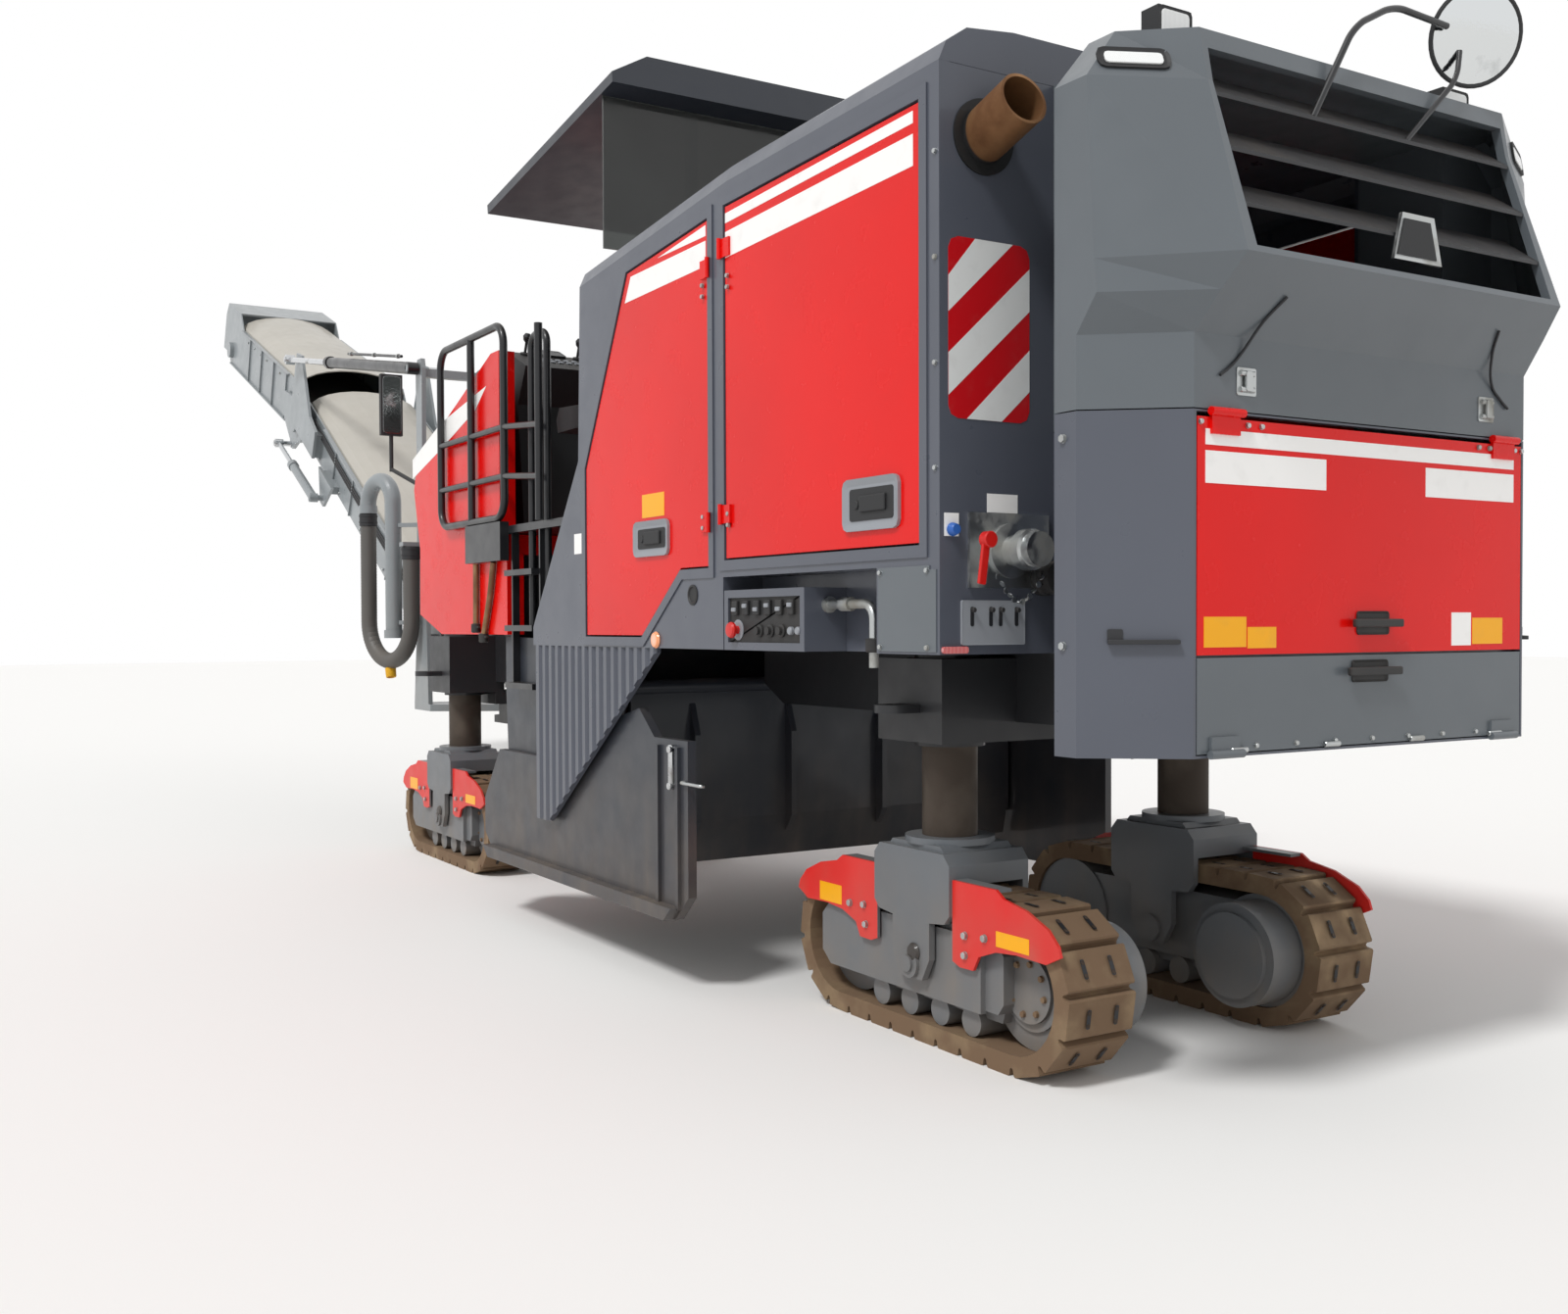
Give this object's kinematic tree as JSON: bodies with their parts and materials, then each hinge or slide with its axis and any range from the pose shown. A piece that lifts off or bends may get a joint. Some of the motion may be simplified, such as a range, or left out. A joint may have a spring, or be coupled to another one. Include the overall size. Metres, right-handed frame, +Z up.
{
  "type": "cold planer milling machine",
  "caption": "Tracked road milling machine with a drum between the tracks, a rear engine hood, a roofed platform and a folding conveyor in front.",
  "frame": {"origin": "on the ground under the middle of the machine's overall box", "axes": "+X forwards to the conveyor's end, +Y to the machine's left, +Z up"},
  "size_m": [15.2786, 2.58, 5.2407],
  "materials": {
    "black": "satin",
    "chrome": "gloss",
    "dusty_steel": "matte",
    "glass": "gloss",
    "grey": "satin",
    "red": "gloss",
    "rubber": "matte",
    "slate": "satin",
    "steel": "satin",
    "track": "matte"
  },
  "bodies": {
    "chassis": {"main_frame": "black", "engine_block": "black", "drum_housing": "black", "skirts": "slate", "hood_sides": "slate", "hood_cap": "slate", "rear_housing": "slate", "rear_hood": "grey", "outlet_blades": "grey", "exhaust_pipe": "dusty_steel", "side_controls": "black", "water_fittings": "steel", "platform": "black", "railings": "black", "consoles": "black", "front_tank": "red", "mirrors": "black", "work_lamps": "black", "inner_conveyor": "black"},
    "rear_left_column": {"column_rear_left": "dusty_steel"},
    "rear_left_track_unit": {"truck_rear_left": "grey", "track_rear_left": "track"},
    "rear_right_column": {"column_rear_right": "dusty_steel"},
    "rear_right_track_unit": {"truck_rear_right": "grey", "track_rear_right": "track"},
    "front_left_column": {"column_front_left": "dusty_steel"},
    "front_left_track_unit": {"truck_front_left": "grey", "track_front_left": "track"},
    "front_right_column": {"column_front_right": "dusty_steel"},
    "front_right_track_unit": {"truck_front_right": "grey", "track_front_right": "track"},
    "milling_drum": {"milling_drum": "dusty_steel"},
    "side_plate_left": {"side_plate_left": "black"},
    "side_plate_right": {"side_plate_right": "black"},
    "scraper": {"scraper": "black"},
    "door_left_rear": {"door_left_rear": "red"},
    "door_left_front": {"door_left_front": "red"},
    "door_right_rear": {"door_right_rear": "red"},
    "door_right_front": {"door_right_front": "red"},
    "rear_door": {"rear_door": "red"},
    "rear_flap": {"rear_flap": "slate"},
    "roof": {"roof": "slate", "roof_window": "glass"},
    "mast": {"slewing_mast": "black", "extraction_hose": "rubber"},
    "lower_flight": {"lower_flight": "grey", "lower_belt": "rubber", "lower_cover": "grey"},
    "upper_flight": {"upper_flight": "grey", "upper_belt": "rubber", "upper_cover": "grey"},
    "lift_barrels": {"lift_barrels": "black"},
    "lift_rods": {"lift_rods": "chrome"},
    "fold_barrels": {"fold_barrels": "grey"},
    "fold_rods": {"fold_rods": "chrome"}
  },
  "joints": [
    {"name": "rear_left_lift", "type": "slide", "parent": "chassis", "child": "rear_left_column", "axis": [0, 0, 1], "range_m": [-0.05, 0.25]},
    {"name": "rear_left_steer", "type": "hinge", "parent": "rear_left_column", "child": "rear_left_track_unit", "pos_m": [-6.07428, 0.62, 0.77], "axis": [0, 0, 1], "range_deg": [-15, 15]},
    {"name": "rear_right_lift", "type": "slide", "parent": "chassis", "child": "rear_right_column", "axis": [0, 0, 1], "range_m": [-0.05, 0.25]},
    {"name": "rear_right_steer", "type": "hinge", "parent": "rear_right_column", "child": "rear_right_track_unit", "pos_m": [-6.07428, -0.62, 0.77], "axis": [0, 0, 1], "range_deg": [-15, 15]},
    {"name": "front_left_lift", "type": "slide", "parent": "chassis", "child": "front_left_column", "axis": [0, 0, 1], "range_m": [-0.05, 0.25]},
    {"name": "front_left_steer", "type": "hinge", "parent": "front_left_column", "child": "front_left_track_unit", "pos_m": [-0.91928, 0.704, 0.77], "axis": [0, 0, 1], "range_deg": [-15, 15]},
    {"name": "front_right_lift", "type": "slide", "parent": "chassis", "child": "front_right_column", "axis": [0, 0, 1], "range_m": [-0.05, 0.25]},
    {"name": "front_right_steer", "type": "hinge", "parent": "front_right_column", "child": "front_right_track_unit", "pos_m": [-0.91928, -0.704, 0.77], "axis": [0, 0, 1], "range_deg": [-15, 15]},
    {"name": "drum_turn", "type": "hinge", "parent": "chassis", "child": "milling_drum", "pos_m": [-3.57928, 0, 0.93], "axis": [0, 1, 0], "continuous": true},
    {"name": "side_plate_left_lift", "type": "slide", "parent": "chassis", "child": "side_plate_left", "axis": [0, 0, 1], "range_m": [0, 0.18]},
    {"name": "side_plate_right_lift", "type": "slide", "parent": "chassis", "child": "side_plate_right", "axis": [0, 0, 1], "range_m": [0, 0.18]},
    {"name": "scraper_swing", "type": "hinge", "parent": "chassis", "child": "scraper", "pos_m": [-4.31928, 0, 1.28], "axis": [0, 1, 0], "range_deg": [0, 60]},
    {"name": "door_left_rear_hinge", "type": "hinge", "parent": "chassis", "child": "door_left_rear", "pos_m": [-5.44828, 1.2653, 2.5], "axis": [0, 0, -1], "range_deg": [0, 90]},
    {"name": "door_left_front_hinge", "type": "hinge", "parent": "chassis", "child": "door_left_front", "pos_m": [-5.35028, 1.2653, 2.5], "axis": [0, 0, 1], "range_deg": [0, 90]},
    {"name": "door_right_rear_hinge", "type": "hinge", "parent": "chassis", "child": "door_right_rear", "pos_m": [-5.44828, -1.2653, 2.5], "axis": [0, 0, 1], "range_deg": [0, 90]},
    {"name": "door_right_front_hinge", "type": "hinge", "parent": "chassis", "child": "door_right_front", "pos_m": [-5.35028, -1.2653, 2.5], "axis": [0, 0, -1], "range_deg": [0, 90]},
    {"name": "rear_door_hinge", "type": "hinge", "parent": "chassis", "child": "rear_door", "pos_m": [-7.49258, 0, 2.192], "axis": [0, 1, 0], "range_deg": [0, 85]},
    {"name": "rear_flap_hinge", "type": "hinge", "parent": "chassis", "child": "rear_flap", "pos_m": [-7.49258, 0, 1.177], "axis": [0, -1, 0], "range_deg": [0, 95]},
    {"name": "roof_lift", "type": "slide", "parent": "chassis", "child": "roof", "axis": [0, 0, 1], "range_m": [-0.65, 0]},
    {"name": "conveyor_slew", "type": "hinge", "parent": "chassis", "child": "mast", "pos_m": [-0.17928, 0, 1], "axis": [0, 0, 1], "range_deg": [-60, 60]},
    {"name": "conveyor_lift", "type": "hinge", "parent": "mast", "child": "lower_flight", "pos_m": [0.22072, 0, 1.45], "axis": [0, -1, 0], "range_deg": [-6, 6]},
    {"name": "conveyor_fold", "type": "hinge", "parent": "lower_flight", "child": "upper_flight", "pos_m": [4.04952, 0, 3.51519], "axis": [0, -1, 0], "range_deg": [-99.5, 8.5]},
    {"name": "lift_barrel_tilt", "type": "hinge", "parent": "mast", "child": "lift_barrels", "pos_m": [0.22072, 0, 3.45], "axis": [0, -1, 0], "range_deg": [-6.81, 6.81]},
    {"name": "lift_rod_slide", "type": "slide", "parent": "lift_barrels", "child": "lift_rods", "axis": [0.9861, 0, 0.1659], "range_m": [-0.2146, 0.2146]},
    {"name": "fold_barrel_tilt", "type": "hinge", "parent": "lower_flight", "child": "fold_barrels", "pos_m": [3.06292, 0, 2.71676], "axis": [0, -1, 0], "range_deg": [-0.43, 4.08]},
    {"name": "fold_rod_slide", "type": "slide", "parent": "fold_barrels", "child": "fold_rods", "axis": [0.8986, 0, 0.4389], "range_m": [-0.5243, 0.0551]}
  ],
  "couplings": [
    {"joint": "lift_barrel_tilt", "follows": "conveyor_lift", "ratio": 1.0909},
    {"joint": "lift_rod_slide", "follows": "conveyor_lift", "m_per_rad": -1.9694},
    {"joint": "fold_barrel_tilt", "follows": "conveyor_fold", "ratio": -0.04009},
    {"joint": "fold_rod_slide", "follows": "conveyor_fold", "m_per_rad": 0.29543},
    {"joint": "front_right_steer", "follows": "front_left_steer", "ratio": 1},
    {"joint": "rear_right_steer", "follows": "rear_left_steer", "ratio": 1}
  ]
}
